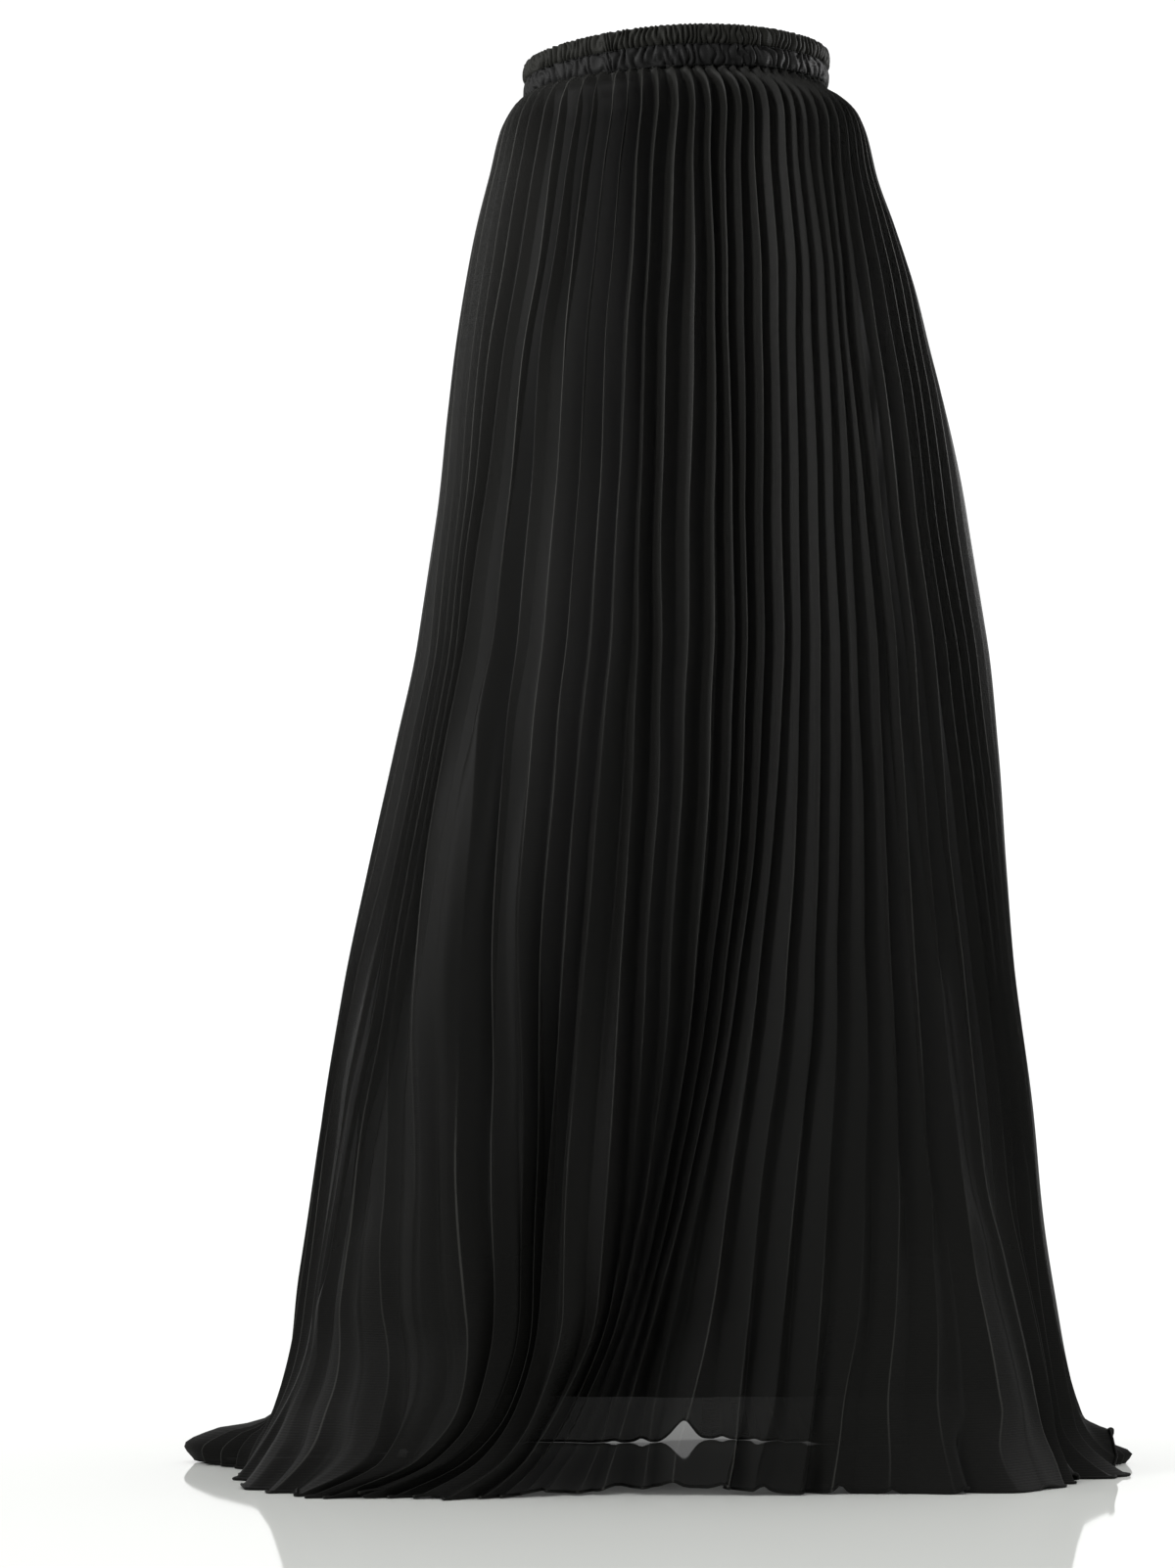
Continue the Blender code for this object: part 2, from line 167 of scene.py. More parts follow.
# The skirt's middle surface: an oval for each height above the floor. The sway moves the oval
# towards +X, where the hip is pushed out.
SECTION_COLUMNS = ("height", "half_width", "front", "back", "sway")
SECTIONS = (
    (1.068, 0.113, 0.095, 0.088, 0.0),
    (1.034, 0.113, 0.095, 0.088, 0.0),
    (1.028, 0.1195, 0.101, 0.095, 0.002),
    (1.018, 0.1265, 0.106, 0.102, 0.004),
    (1.0, 0.133, 0.11, 0.109, 0.005),
    (0.97, 0.14, 0.114, 0.115, 0.005),
    (0.93, 0.152, 0.119, 0.124, 0.007),
    (0.885, 0.1635, 0.126, 0.133, 0.01),
    (0.84, 0.1725, 0.133, 0.141, 0.012),
    (0.795, 0.181, 0.139, 0.148, 0.015),
    (0.71, 0.1945, 0.149, 0.159, 0.019),
    (0.62, 0.2085, 0.161, 0.171, 0.019),
    (0.535, 0.2215, 0.172, 0.183, 0.014),
    (0.445, 0.234, 0.182, 0.194, 0.007),
    (0.355, 0.2465, 0.191, 0.204, 0.002),
    (0.27, 0.2585, 0.199, 0.213, 0.001),
    (0.18, 0.268, 0.206, 0.223, 0.0),
    (0.095, 0.281, 0.21, 0.231, 0.001),
    (0.04, 0.29, 0.212, 0.236, 0.002),
    (0.0, 0.2945, 0.213, 0.24, 0.003),
)

# Where the pleats run. Each row follows one ridge, counted from the seam at -X across the
# front and on round the back, and gives its azimuth in degrees at LEVELS above the floor.
LEVELS = (1.000, 0.900, 0.800, 0.690, 0.580, 0.470, 0.360, 0.220, 0.130, 0.060, 0.025, 0.000)
RIDGES = (
    (1, -91, -91, -91, -90, -87, -87, -88, -89, -89.5, -89.5, -89.8, -90),
    (2, -87, -87, -87, -83.5, -80, -80.5, -83, -86.5, -87.5, -86.5, -86, -86),
    (3, -82, -82, -80.5, -77, -72.9, -73.2, -78, -82.5, -83.5, -82, -81, -80),
    (4, -76.5, -76, -74.5, -72, -68.7, -67.7, -69.8, -75.1, -76.9, -75, -74.5, -73),
    (5, -71.5, -70.4, -70.1, -68.4, -66, -65.3, -65.8, -70, -71.6, -67.3, -62, -60),
    (6, -65.9, -66.1, -66.6, -65.9, -63.8, -63, -62.9, -65.5, -66, -60, -55.5, -54.5),
    (7, -60, -60.8, -63, -63.3, -61.2, -60.3, -59.8, -58.1, -56, -49.5, -46, -49.5),
    (8, -53.3, -55.1, -57.9, -59.4, -58.3, -57.5, -55.2, -50, -48.6, -43.8, -42.5, -47),
    (9, -46.5, -48.1, -51.9, -53.3, -51.8, -48.2, -45.5, -42.1, -38.8, -36.5, -38.5, -45),
    (10, -39.1, -42.8, -47, -48.4, -47.2, -44, -40.7, -35.7, -33.5, -34, -37, -43.5),
    (11, -33.1, -36.6, -38.6, -39.9, -39.2, -36.7, -34.3, -30.7, -30.2, -32, -35.5, -42),
    (12, -25.8, -29.7, -32.1, -33.1, -32.8, -30.5, -29.7, -28.3, -28.2, -30.5, -34, -40),
    (13, -20.3, -23.8, -26.3, -27.2, -26.8, -25.4, -24.4, -25.2, -26, -28.8, -31.8, -37),
    (14, -14.8, -17.5, -20.4, -22.4, -21.9, -20.3, -19.4, -20.1, -20.3, -24.3, -27.5, -32.5),
    (15, -8.8, -12.4, -15, -16.6, -15.4, -13.1, -12.3, -13, -14.7, -21, -25, -29.5),
    (16, -1.6, -5.3, -8.9, -11, -9.6, -7.2, -7.1, -9, -12.7, -19.3, -23.5, -27.5),
    (17, 4.6, 2.1, -0.8, -3.8, -3.5, -2.1, -2.2, -5.9, -10.7, -17.6, -21.7, -25.5),
    (18, 10.1, 8, 5.4, 2.8, 2.7, 3.8, 2.9, -2.8, -8.6, -15.6, -19.5, -23),
    (19, 15.8, 12.2, 9.3, 7.6, 7.6, 8.3, 6.3, -0.2, -6.4, -12.8, -16, -18.5),
    (20, 21.3, 17.4, 13.8, 10.9, 10.7, 11.2, 9.2, 2.3, -4.2, -10, -12.8, -14.5),
    (21, 25.7, 22.8, 18.9, 15.5, 14.8, 14.6, 11.9, 5, -0.5, -5, -6.4, -7.5),
    (22, 31.3, 28.1, 23.6, 20.3, 19.4, 18.5, 16.1, 10.1, 6.5, 1.8, -1.2, -2),
    (23, 37, 33.8, 28.4, 24.9, 23.4, 23.3, 21.8, 16.1, 13.3, 10.8, 9.6, 8),
    (24, 41.3, 38, 33.2, 29.8, 28.2, 28.3, 27.4, 22.7, 19.5, 16.8, 14, 12.5),
    (25, 45.7, 42.3, 37.7, 33.9, 32.9, 32.8, 32.1, 28.5, 26, 23.5, 22, 20.5),
    (26, 50.5, 45.8, 41.5, 38.3, 36.9, 38.1, 38.1, 35.3, 33.2, 29.2, 28, 27),
    (27, 55.5, 49, 44.4, 42.5, 42.2, 43, 43.7, 41.9, 40, 37.2, 36.5, 35.5),
    (28, 60, 53, 48.8, 47, 47, 48.3, 49.2, 48.2, 47.7, 46, 44.5, 43),
    (29, 64.5, 57.5, 54.5, 52, 51.9, 53.1, 54.9, 54.1, 56, 57, 53, 51),
    (30, 69, 62.7, 59.8, 57, 57.4, 58.8, 61.4, 60.5, 64, 66, 65, 62),
    (31, 73.5, 67.5, 64.1, 60.6, 61.3, 64.5, 67.2, 67.3, 69.5, 70.3, 69.3, 67.5),
    (32, 78, 73, 68, 64, 65.5, 68.7, 71, 71.7, 73.3, 73.8, 73.3, 72.2),
    (33, 82.5, 78, 72.5, 68, 69, 72.5, 74.8, 76, 77, 77.3, 77.2, 77),
    (34, 87, 83, 78, 72.9, 73.4, 77.3, 79.5, 80.5, 80.7, 80.8, 81.2, 81.8),
    (35, 92, 88, 83.5, 79, 79.5, 83, 85, 85.5, 85, 85, 86, 87),
    (36, 98, 94, 89.5, 86, 86, 89, 90.5, 90.5, 89.5, 89.5, 91, 92),
    (38, 110, 106.3, 100, 99, 98, 99, 100, 98, 97.3, 97.3, 97.7, 98),
    (41, 125, 122.4, 118, 116, 114, 113, 112, 108, 106.5, 107.2, 108.7, 110),
    (44, 141, 139.9, 138, 136.5, 135, 134.5, 134, 135, 135.7, 135.4, 134.6, 134),
    (48, 161, 160.6, 160, 159.5, 159, 159.5, 160, 163, 163.7, 162.8, 161.3, 160),
    (51, 176, 176, 176, 176, 176, 175.5, 175, 174, 173.3, 173.3, 173.7, 174),
    (54, 191, 191.4, 192, 192.5, 193, 193, 193, 192, 191.3, 191.9, 193.1, 194),
    (58, 211, 211.7, 213, 214, 215, 216.5, 218, 220, 220.7, 219.8, 218.3, 217),
    (61, 226, 227.1, 229, 230, 231, 231, 231, 230, 230, 230.6, 231.4, 232),
    (64, 242, 243.1, 245, 246, 247, 248, 249, 251, 251.7, 251.1, 249.9, 249),
    (67, 258, 258.7, 260, 261, 262, 263, 264, 266, 266.7, 266.1, 264.9, 264),
)

# The largest folds: the cloth round one ridge is pushed out, or in where the push is negative.
# Columns: ridge, pleats before, pleats after, push, height where it starts, height where it is full.
FOLDS = (
    (8.4, 1.1, 0.7, 0.008, 0.8, 0.42),
    (9.5, 0.45, 1.1, -0.009, 0.9, 0.66),
    (9.9, 1.0, 0.9, 0.01, 0.36, 0.16),
    (12.2, 1.3, 1.3, -0.01, 0.48, 0.2),
    (14.3, 1.1, 1.0, 0.015, 0.42, 0.16),
    (19.0, 1.8, 2.4, -0.011, 0.5, 0.18),
    (25.3, 2.3, 2.3, 0.006, 0.4, 0.1),
    (29.7, 1.2, 1.2, 0.012, 0.34, 0.1),
    (32.3, 0.9, 1.2, -0.01, 0.34, 0.12),
    (41.0, 1.5, 1.5, -0.011, 0.5, 0.16),
    (45.1, 1.6, 1.6, 0.012, 0.45, 0.15),
    (51.0, 1.6, 1.6, -0.012, 0.6, 0.2),
    (55.6, 2.0, 1.6, 0.013, 0.5, 0.15),
    (61.0, 1.5, 1.5, -0.011, 0.45, 0.15),
    (64.6, 1.8, 1.8, 0.012, 0.4, 0.12),
)

# Where the hem breaks on the floor: at an azimuth it runs out by the reach, over the rise above
# the hem, and its edge is turned up by the lift.
# Columns: azimuth, spread before, spread after, reach, rise, lift.
LOBES = (
    (-50, 30, 24, 0.096, 0.115, 0),
    (0, 16, 16, 0, 0.1, 0.005),
    (48, 10, 20, 0.04, 0.07, 0),
    (80, 9, 8, 0.036, 0.04, 0),
    (90, 3, 4, 0.02, 0.016, 0.03),
    (130, 15, 17, 0.05, 0.12, 0),
    (174, 16, 14, 0.07, 0.15, 0),
    (214, 14, 13, 0.048, 0.11, 0),
)

# Where the hem is blown up into a round end on the floor: the same, but the cloth runs out furthest
# a little above the hem, in the profile below (heights are shares of the rise).
ENDS = (
    (-101, 8, 9, 0.08, 0.03, 0.001),
    (102, 7, 7, 0.052, 0.018, 0),
)
END_PROFILE = ((0.0, 0.4, 0.85, 1.05, 1.5), (0.87, 1.0, 0.68, 0.25, 0.0))
FOLDED_OVER = LOBES[3:5] + ENDS  # where the cloth on the floor is folded over on itself

# Small arches in the hem, where a fold stands off the floor and lets the light in.
# Columns: azimuth, half width, lift.
ARCHES = (
    (-62, 1.2, 0.002),
    (-51.5, 1, 0.003),
    (-43, 0.7, 0.005),
    (-36, 1, 0.002),
    (-24, 2, 0.003),
    (-13, 1.6, 0.003),
    (-2, 1.8, 0.004),
    (7, 1.2, 0.003),
    (15, 1.5, 0.004),
    (28.5, 1.2, 0.006),
    (36, 0.8, 0.003),
    (44.5, 1, 0.004),
    (58, 2, 0.002),
    (71, 0.9, 0.005),
    (158, 1.2, 0.0015),
    (168, 1.1, 0.002),
    (174, 0.9, 0.002),
    (180, 2, 0.015),
    (187, 1.1, 0.003),
    (192, 0.9, 0.0015),
    (235, 1.6, 0.003),
)

# Creases pressed or fallen into the cloth: a trough (push below 0) or a ridge from one place to
# another, each place a ridge number and a height above the floor. Widths, in pleats, are to the
# side of -X and to the side of +X for the front.
# Columns: from ridge, from height, to ridge, to height, width before, width after, push.
CREASES = (
    (9.5, 0.98, 9.5, 0.56, 0.4, 0.4, -0.0035),
    (8.9, 0.62, 8.5, 0.3, 0.2, 0.5, 0.004),
    (8.3, 0.56, 8.25, 0.02, 0.12, 0.4, 0.0055),
    (8.7, 0.48, 8.72, 0.02, 0.12, 0.4, 0.005),
    (10.5, 0.52, 10.45, 0.06, 0.12, 0.35, 0.0035),
    (11.3, 0.42, 10.8, 0.08, 0.8, 0.8, -0.0045),
    (10.2, 0.3, 10.0, 0.05, 0.7, 0.7, 0.004),
    (13.6, 0.56, 13.9, 0.18, 0.7, 0.7, 0.003),
    (17.4, 0.26, 13.8, 0.03, 0.9, 0.9, -0.0045),
    (20.9, 0.19, 15.8, 0.02, 1.0, 1.0, 0.004),
    (22.0, 0.15, 19.3, 0.01, 0.8, 0.8, -0.004),
    (24.1, 0.33, 23.4, 0.06, 0.9, 0.9, -0.003),
    (27.7, 0.25, 27.8, 0.02, 1.2, 1.2, 0.0035),
    (28.6, 0.3, 28.3, 0.005, 0.12, 0.55, 0.0045),
    (29.3, 0.18, 30.3, 0.015, 0.8, 0.8, -0.004),
    (29.6, 0.42, 29.5, 0.01, 0.45, 0.12, 0.005),
    (33.5, 0.26, 31.5, 0.04, 0.7, 0.7, 0.004),
    (2.5, 0.3, 2.4, 0.01, 0.15, 0.5, 0.004),
    (3.5, 0.42, 3.6, 0.006, 0.13, 0.6, 0.0055),
    (4.35, 0.36, 4.35, 0.004, 0.12, 0.45, 0.007),
    (4.72, 0.16, 4.7, 0.004, 0.12, 0.4, 0.006),
    (5.45, 0.33, 5.5, 0.004, 0.12, 0.5, 0.0065),
    (6.5, 0.43, 6.42, 0.006, 0.12, 0.55, 0.0065),
    (7.6, 0.4, 7.5, 0.02, 0.15, 0.6, 0.005),
    (4.0, 0.3, 3.3, 0.03, 0.9, 0.9, -0.0035),
    (6.9, 0.21, 5.6, 0.02, 0.8, 0.8, 0.003),
    (37.2, 0.34, 35.9, 0.06, 1.0, 1.0, -0.004),
    (42.5, 0.45, 43.2, 0.1, 1.2, 1.2, 0.004),
    (46.6, 0.26, 47.8, 0.03, 0.9, 0.9, -0.0045),
    (49.0, 0.52, 48.5, 0.2, 0.8, 0.8, 0.003),
    (53.4, 0.31, 52.1, 0.04, 1.1, 1.1, -0.0045),
    (57.1, 0.38, 58.0, 0.05, 0.9, 0.9, 0.004),
    (62.6, 0.29, 63.4, 0.04, 1.0, 1.0, -0.004),
    (66.0, 0.42, 67.0, 0.09, 0.9, 0.9, 0.0035),
)

# Tucks at the hem, where the cloth that lies on the floor is drawn in between two folds.
# Columns: ridge, pleats before, pleats after, rise above the floor, depth.
TUCKS = (
    (4.15, 0.12, 0.35, 0.07, 0.012),
    (5.2, 0.1, 0.3, 0.05, 0.01),
    (6.15, 0.1, 0.35, 0.06, 0.012),
    (7.25, 0.15, 0.3, 0.09, 0.014),
    (9.8, 0.3, 0.6, 0.06, 0.01),
    (14.6, 0.3, 0.5, 0.05, 0.01),
    (20.5, 0.25, 0.4, 0.07, 0.014),
    (23.5, 0.15, 0.4, 0.045, 0.01),
    (25.6, 0.12, 0.35, 0.05, 0.012),
    (28.4, 0.12, 0.3, 0.06, 0.012),
    (30.4, 0.15, 0.3, 0.08, 0.014),
    (32.3, 0.3, 0.4, 0.07, 0.016),
    (36.2, 0.3, 0.4, 0.05, 0.012),
    (43.6, 0.3, 0.6, 0.06, 0.016),
    (46.3, 0.3, 0.4, 0.04, 0.012),
    (49.6, 0.4, 0.5, 0.07, 0.018),
    (52.7, 0.25, 0.5, 0.05, 0.014),
    (56.2, 0.3, 0.4, 0.06, 0.016),
    (60.4, 0.35, 0.5, 0.05, 0.012),
    (63.2, 0.3, 0.45, 0.07, 0.014),
)

# Sizes and colours that a user would change.


def linear(hex_colour):
    """An sRGB colour written #rrggbb, as linear red, green and blue."""
    parts = [int(hex_colour[i : i + 2], 16) / 255 for i in (1, 3, 5)]
    return tuple(c / 12.92 if c <= 0.04045 else ((c + 0.055) / 1.055) ** 2.4 for c in parts)


def length(name, description, default):
    """A size in metres for a property group."""
    return bpy.props.FloatProperty(
        name=name, description=description, default=default, unit="LENGTH", precision=4
    )


def count(name, description, default):
    """A number of like things for a property group."""
    return bpy.props.IntProperty(name=name, description=description, default=default)


def colour(name, description, default):
    """A colour for a property group."""
    return bpy.props.FloatVectorProperty(
        name=name, description=description, default=linear(default), subtype="COLOR", min=0, max=1
    )


class SkirtSizes(bpy.types.PropertyGroup):
    """Real sizes of the skirt."""

    waist_height: length("Waist height", "From the floor to the middle of the casings", 1.050)
    casing_height: length("Casing height", "Height of each gathered casing", 0.016)
    side_dip: length("Side dip", "How much lower the waist's top edge is at the sides", 0.004)
    waist_tilt: length("Waist tilt", "How far the waist is up at the left hip", 0.005)
    pleat_leg: length("Pleat leg", "Along the cloth, from a ridge to the next valley", 0.016)
    hem_clearance: length("Hem clearance", "From the floor to the hem", 0.0001)
    lining_hem: length("Lining hem", "From the floor to the hem of the lining", 0.066)
    lining_clearance: length("Lining clearance", "Between the lining and the pleats", 0.0025)
    rolled_hem: length("Rolled hem", "Width of the narrow rolled hem", 0.0022)
    stitch: length("Stitch", "Length of one stitch on the casings", 0.0022)
    upper_gathers: count("Upper gathers", "Gathers round the upper casing", 148)
    lower_gathers: count("Lower gathers", "Puckers round the lower casing", 88)
    crease_sharpness: bpy.props.FloatProperty(
        name="Crease sharpness",
        description="How sharp the heat-set creases are, from 0, a wave, to 1, a knife edge",
        default=0.998,
        min=0,
        max=0.999,
    )


class SkirtColours(bpy.types.PropertyGroup):
    """Colours of the cloths and the stage."""

    chiffon: colour("Chiffon", "Pleated crepe chiffon", "#090909")
    chiffon_light: colour("Chiffon, worn", "The lighter threads of the chiffon", "#121210")
    upper_casing: colour("Upper casing", "Upper gathered casing", "#11110f")
    # Darker than the upper casing's colour though both are the same crepe: painted shade, where the
    # lower casing lies below the overhanging upper one.
    lower_casing: colour("Lower casing", "Lower gathered casing", "#0d0d0d")
    lining: colour("Lining", "Opaque lining", "#090909")
    # Painted highlight: the lighter colour drawn in a thin line along each ridge of the chiffon.
    painted_ridge_highlight: colour("Painted ridge highlight", "Painted highlight along each ridge", "#30302e")
    thread: colour("Thread", "Sewing thread", "#0c0c0c")
    floor: colour("Floor", "Lacquered studio floor", "#f4f6f2")


# Shape functions.


def smooth(at, xs, ys):
    """A monotone cubic through the points xs, ys (Fritsch and Carlson), for an array of places.

    ys holds one value for each of xs, or one array shaped like at for each of xs.
    """
    ys = np.asarray(ys)
    shape = (-1, *(1,) * (ys.ndim - 1))
    steps = np.diff(xs)
    slopes = np.diff(ys, axis=0) / steps.reshape(shape)
    before, after = slopes[:-1], slopes[1:]
    same_way = before * after > 0
    inner = np.where(same_way, 2 * before * after / np.where(same_way, before + after, 1), 0)
    tangents = np.concatenate([slopes[:1], inner, slopes[-1:]])
    i = np.clip(np.searchsorted(xs, at) - 1, 0, len(steps) - 1)
    t = np.clip((at - xs[i]) / steps[i], 0, 1)

    def pick(values, index):
        return values[index] if ys.ndim == 1 else np.take_along_axis(values, index[None], 0)[0]

    return (
        pick(ys, i) * (1 + 2 * t) * (1 - t) ** 2
        + pick(ys, i + 1) * t * t * (3 - 2 * t)
        + pick(tangents, i) * steps[i] * t * (1 - t) ** 2
        - pick(tangents, i + 1) * steps[i] * t * t * (1 - t)
    )


def ease(x):
    """A smooth step from 0 to 1."""
    x = np.clip(x, 0, 1)
    return x * x * (3 - 2 * x)


def bell(distance, before, after):
    """A hump that is 1 at 0 and fades over a different length on each side."""
    return np.exp(-((distance / np.where(distance < 0, before, after)) ** 2))


def around(difference):
    """An angle in degrees brought between -180 and 180."""
    return (difference + 180) % 360 - 180


def uneven(turns, along, kind):
    """Smooth noise from -1 to 1: random values at whole turns and at steps along, eased between."""
    seed, step = NOISE[kind]
    lattice = np.random.default_rng(seed).uniform(-1, 1, (PLEATS, NOISE_ROWS))
    rows = along / step
    i, j = np.floor(turns).astype(int), np.floor(rows).astype(int)
    u, v = ease(turns - i), ease(rows - j)
    i0, i1, j0, j1 = i % PLEATS, (i + 1) % PLEATS, j % NOISE_ROWS, (j + 1) % NOISE_ROWS
    low = lattice[i0, j0] * (1 - u) + lattice[i1, j0] * u
    high = lattice[i0, j1] * (1 - u) + lattice[i1, j1] * u
    return low * (1 - v) + high * v


def azimuth_of(ridge, height):
    """The azimuth, in radians, of a place between ridges at a height above the floor."""
    table = np.array(RIDGES, float)
    rows = np.concatenate([table[-2:], table, table[:2]])
    rows[:2] -= np.array([PLEATS] + [360] * len(LEVELS))
    rows[-2:] += np.array([PLEATS] + [360] * len(LEVELS))
    at_levels = np.array([smooth(ridge, rows[:, 0], turns) for turns in rows[:, :0:-1].T])
    return np.radians(smooth(height, np.array(LEVELS[::-1]), at_levels))


def section_at(height, name):
    """One of the section's measures at a height above the floor."""
    table = np.array(SECTIONS[::-1])
    return smooth(height, table[:, 0], table[:, SECTION_COLUMNS.index(name)])


def section_radius(azimuth, height):
    """The radius of the oval section: half a width and a front or back depth, as an ellipse."""
    front, back = section_at(height, "front"), section_at(height, "back")
    depth = np.where(np.cos(azimuth) > 0, front, back)
    return 1 / np.hypot(np.sin(azimuth) / section_at(height, "half_width"), np.cos(azimuth) / depth)


def waist_line(sizes, azimuth, share):
    """Height of the waist above the floor: share 0 at the seam with the pleats, 1 at the top edge."""
    seam = sizes.waist_height - sizes.casing_height + sizes.waist_tilt * np.sin(azimuth)
    return seam + share * (2 * sizes.casing_height - sizes.side_dip * np.sin(azimuth) ** 2)


def spread_of(azimuth, turn, before, after):
    """A hump round an azimuth given in degrees, with a width in degrees on each side."""
    return bell(around(np.degrees(azimuth) - turn), before, after)


def hem_height(sizes, azimuth):
    """Height of the hem above the floor: its clearance, the lobes' lifts and the arches."""
    height = np.full_like(azimuth, sizes.hem_clearance)
    for turn, before, after, _, _, lift in LOBES + ENDS:
        height += lift * spread_of(azimuth, turn, before, after)
    for turn, half_width, lift in ARCHES:
        height += lift * spread_of(azimuth, turn, half_width, half_width)
    return height


def lobe_reach(azimuth, above_hem):
    """How far the cloth runs out over the floor, this far above its hem."""
    reach = np.zeros_like(azimuth)
    for turn, before, after, furthest, rise, _ in LOBES:
        spread = spread_of(azimuth, turn, before, after)
        reach += furthest * spread * np.clip(1 - above_hem / rise, 0, 1) ** 2
    for turn, before, after, furthest, rise, _ in ENDS:
        profile = smooth(above_hem / rise, *(np.array(part) for part in END_PROFILE))
        reach += furthest * spread_of(azimuth, turn, before, after) * profile
    return reach


def pleats_off(ridge, centre):
    """How many pleats a place lies from another, the short way round."""
    return (ridge - centre + PLEATS / 2) % PLEATS - PLEATS / 2


def fold_push(ridge, height):
    """How far the largest folds push the cloth out."""
    push = np.zeros_like(height)
    for centre, before, after, out, starts, full in FOLDS:
        fold = bell(pleats_off(ridge, centre), before, after)
        push += out * fold * ease((starts - height) / (starts - full))
    return push


def tuck_push(ridge, height):
    """How far the tucks at the hem draw the cloth in, most at the floor."""
    push = np.zeros_like(height)
    for centre, before, after, rise, deep in TUCKS:
        push -= deep * bell(pleats_off(ridge, centre), before, after) * ease(1 - height / rise)
    return push


def crease_push(ridge, height):
    """How far the soft creases push the cloth out: a hump across each line, faded at its ends."""
    push = np.zeros_like(height)
    for ridge_a, height_a, ridge_b, height_b, before, after, out in CREASES:
        along = (height_a - height) / (height_a - height_b)
        off = pleats_off(ridge, ridge_a + (ridge_b - ridge_a) * along)
        ends = ease(4 * along) * ease(4 * (1.08 - along))
        push += out * bell(off, before, after) * ends
    return push


def place(sizes, azimuth, radius, height):
    """Points at these polar coordinates round the section's middle."""
    x = section_at(height, "sway") + radius * np.sin(azimuth)
    return np.stack([x, -radius * np.cos(azimuth), height - sizes.waist_height], axis=-1)


def pleat_depth(sizes, ridge, radius, height, top):
    """Depth of a pleat: sqrt(leg^2 - (pitch/2)^2), because the cloth does not stretch."""
    pitch = radius * (azimuth_of(ridge + 0.5, height) - azimuth_of(ridge - 0.5, height))
    full = np.sqrt(np.maximum(sizes.pleat_leg**2 - (pitch / 2) ** 2, FLATTEST_PLEAT**2))
    opening = ease((top - height) / PLEAT_OPENING)
    return SEAM_PLEAT_DEPTH + (full - SEAM_PLEAT_DEPTH) * opening


def pleated_cloth(sizes, turns, shares):
    """Points of the pleated cloth, and its flat coordinates in metres.

    turns counts pleats from the seam at -X, and shares runs from 0 at the waist seam to 1 at
    the hem. Across the pleats the radius follows asin(a * -cos(2 pi turns)) / asin(a), a zigzag
    with creases that are rounder the smaller a is. Each pleat leans sideways about its ridge by
    its own amount, and its ridge wanders a little along its length.
    """
    ridge = turns + 0.5
    at_waist = azimuth_of(ridge, np.full_like(ridge, sizes.waist_height))
    top = waist_line(sizes, at_waist, 0) + CASING_OVERLAP
    hem = hem_height(sizes, azimuth_of(ridge, np.zeros_like(ridge)))
    height = top + (hem - top) * shares
    below = top - height

    hidden = ease((np.abs(pleats_off(ridge, FRONT_RIDGE)) - STEADY_PLEATS) / 3)
    wander = (WANDER + HIDDEN_WANDER * hidden) * uneven(turns, height, "wander")
    wander = wander + WANDER * uneven(turns, height, "small wander")
    off_seam = np.minimum(ease(turns % PANEL_PLEATS), ease(-turns % PANEL_PLEATS))
    ridge = ridge + wander * off_seam * ease(below / WANDERING)
    azimuth = azimuth_of(ridge, height)
    radius = section_radius(azimuth, height) + fold_push(ridge, height) + crease_push(ridge, height)
    radius = radius + tuck_push(ridge, height) + lobe_reach(azimuth, height - hem)

    depth = pleat_depth(sizes, ridge, radius, height, top)
    depth = depth * (1 + UNEVEN_DEPTH * uneven(turns, height, "pleat depth") * ease(below / DEEPENING))
    depth = depth * (0.1 + 0.9 * np.sin(np.pi / 2 * np.clip((below - 0.001) / PUFF, 0, 1)))
    sharp = SEAM_SHARPNESS + (sizes.crease_sharpness - SEAM_SHARPNESS) * ease(below / SHARPENING)
    wave = np.arcsin(-sharp * np.cos(2 * np.pi * turns)) / np.arcsin(sharp)
    lean = MEAN_LEAN + UNEVEN_LEAN * uneven(turns, height, "lean")
    for centre, before, after, over in LEANS:
        lean = lean + over * bell(pleats_off(ridge, centre), before, after)
    outer = radius + wave * depth / 2 - CLOTH_INSET
    azimuth = azimuth + lean * ease(below / LEANING) * (wave - 1) * depth / 2 / radius
    flat = np.stack([turns * 2 * sizes.pleat_leg, -below], axis=-1)
    return place(sizes, azimuth, outer, height), flat


def cover_of(sizes, turns, points):
    """The share of light that the cloth stops: 1 - bare^plies, from how many plies lie together.

    The back hangs with its pleats closed, two plies deep, but in one ply by the seam at +X. The
    front closes to three plies near the floor, but for its open middle, and the ends that lie on
    the floor are folded over on themselves.
    """
    height = points[..., 2] + sizes.waist_height
    azimuth = np.arctan2(points[..., 0] - section_at(height, "sway"), -points[..., 1])
    first, last = OPEN_MIDDLE
    middle = ease((turns - first) / OPEN_EDGES[0]) * ease((last - turns) / OPEN_EDGES[1])
    front = 1 + CLOSED_PLIES * (1 - middle) * ease((CLOSING_STARTS - height) / CLOSING_LENGTH)
    back = 1 + ease((turns - BACK_CLOSES[0]) / BACK_CLOSES[1])
    plies = np.where(turns < PANEL_PLEATS, front, back)
    for turn, before, after, _, rise, _ in FOLDED_OVER:
        end = spread_of(azimuth, turn, before * FOLDED_SPREAD, after * FOLDED_SPREAD)
        plies = plies + CLOSED_PLIES * end * ease(2 - height / (rise + 0.01))
    return 1 - BARE**plies


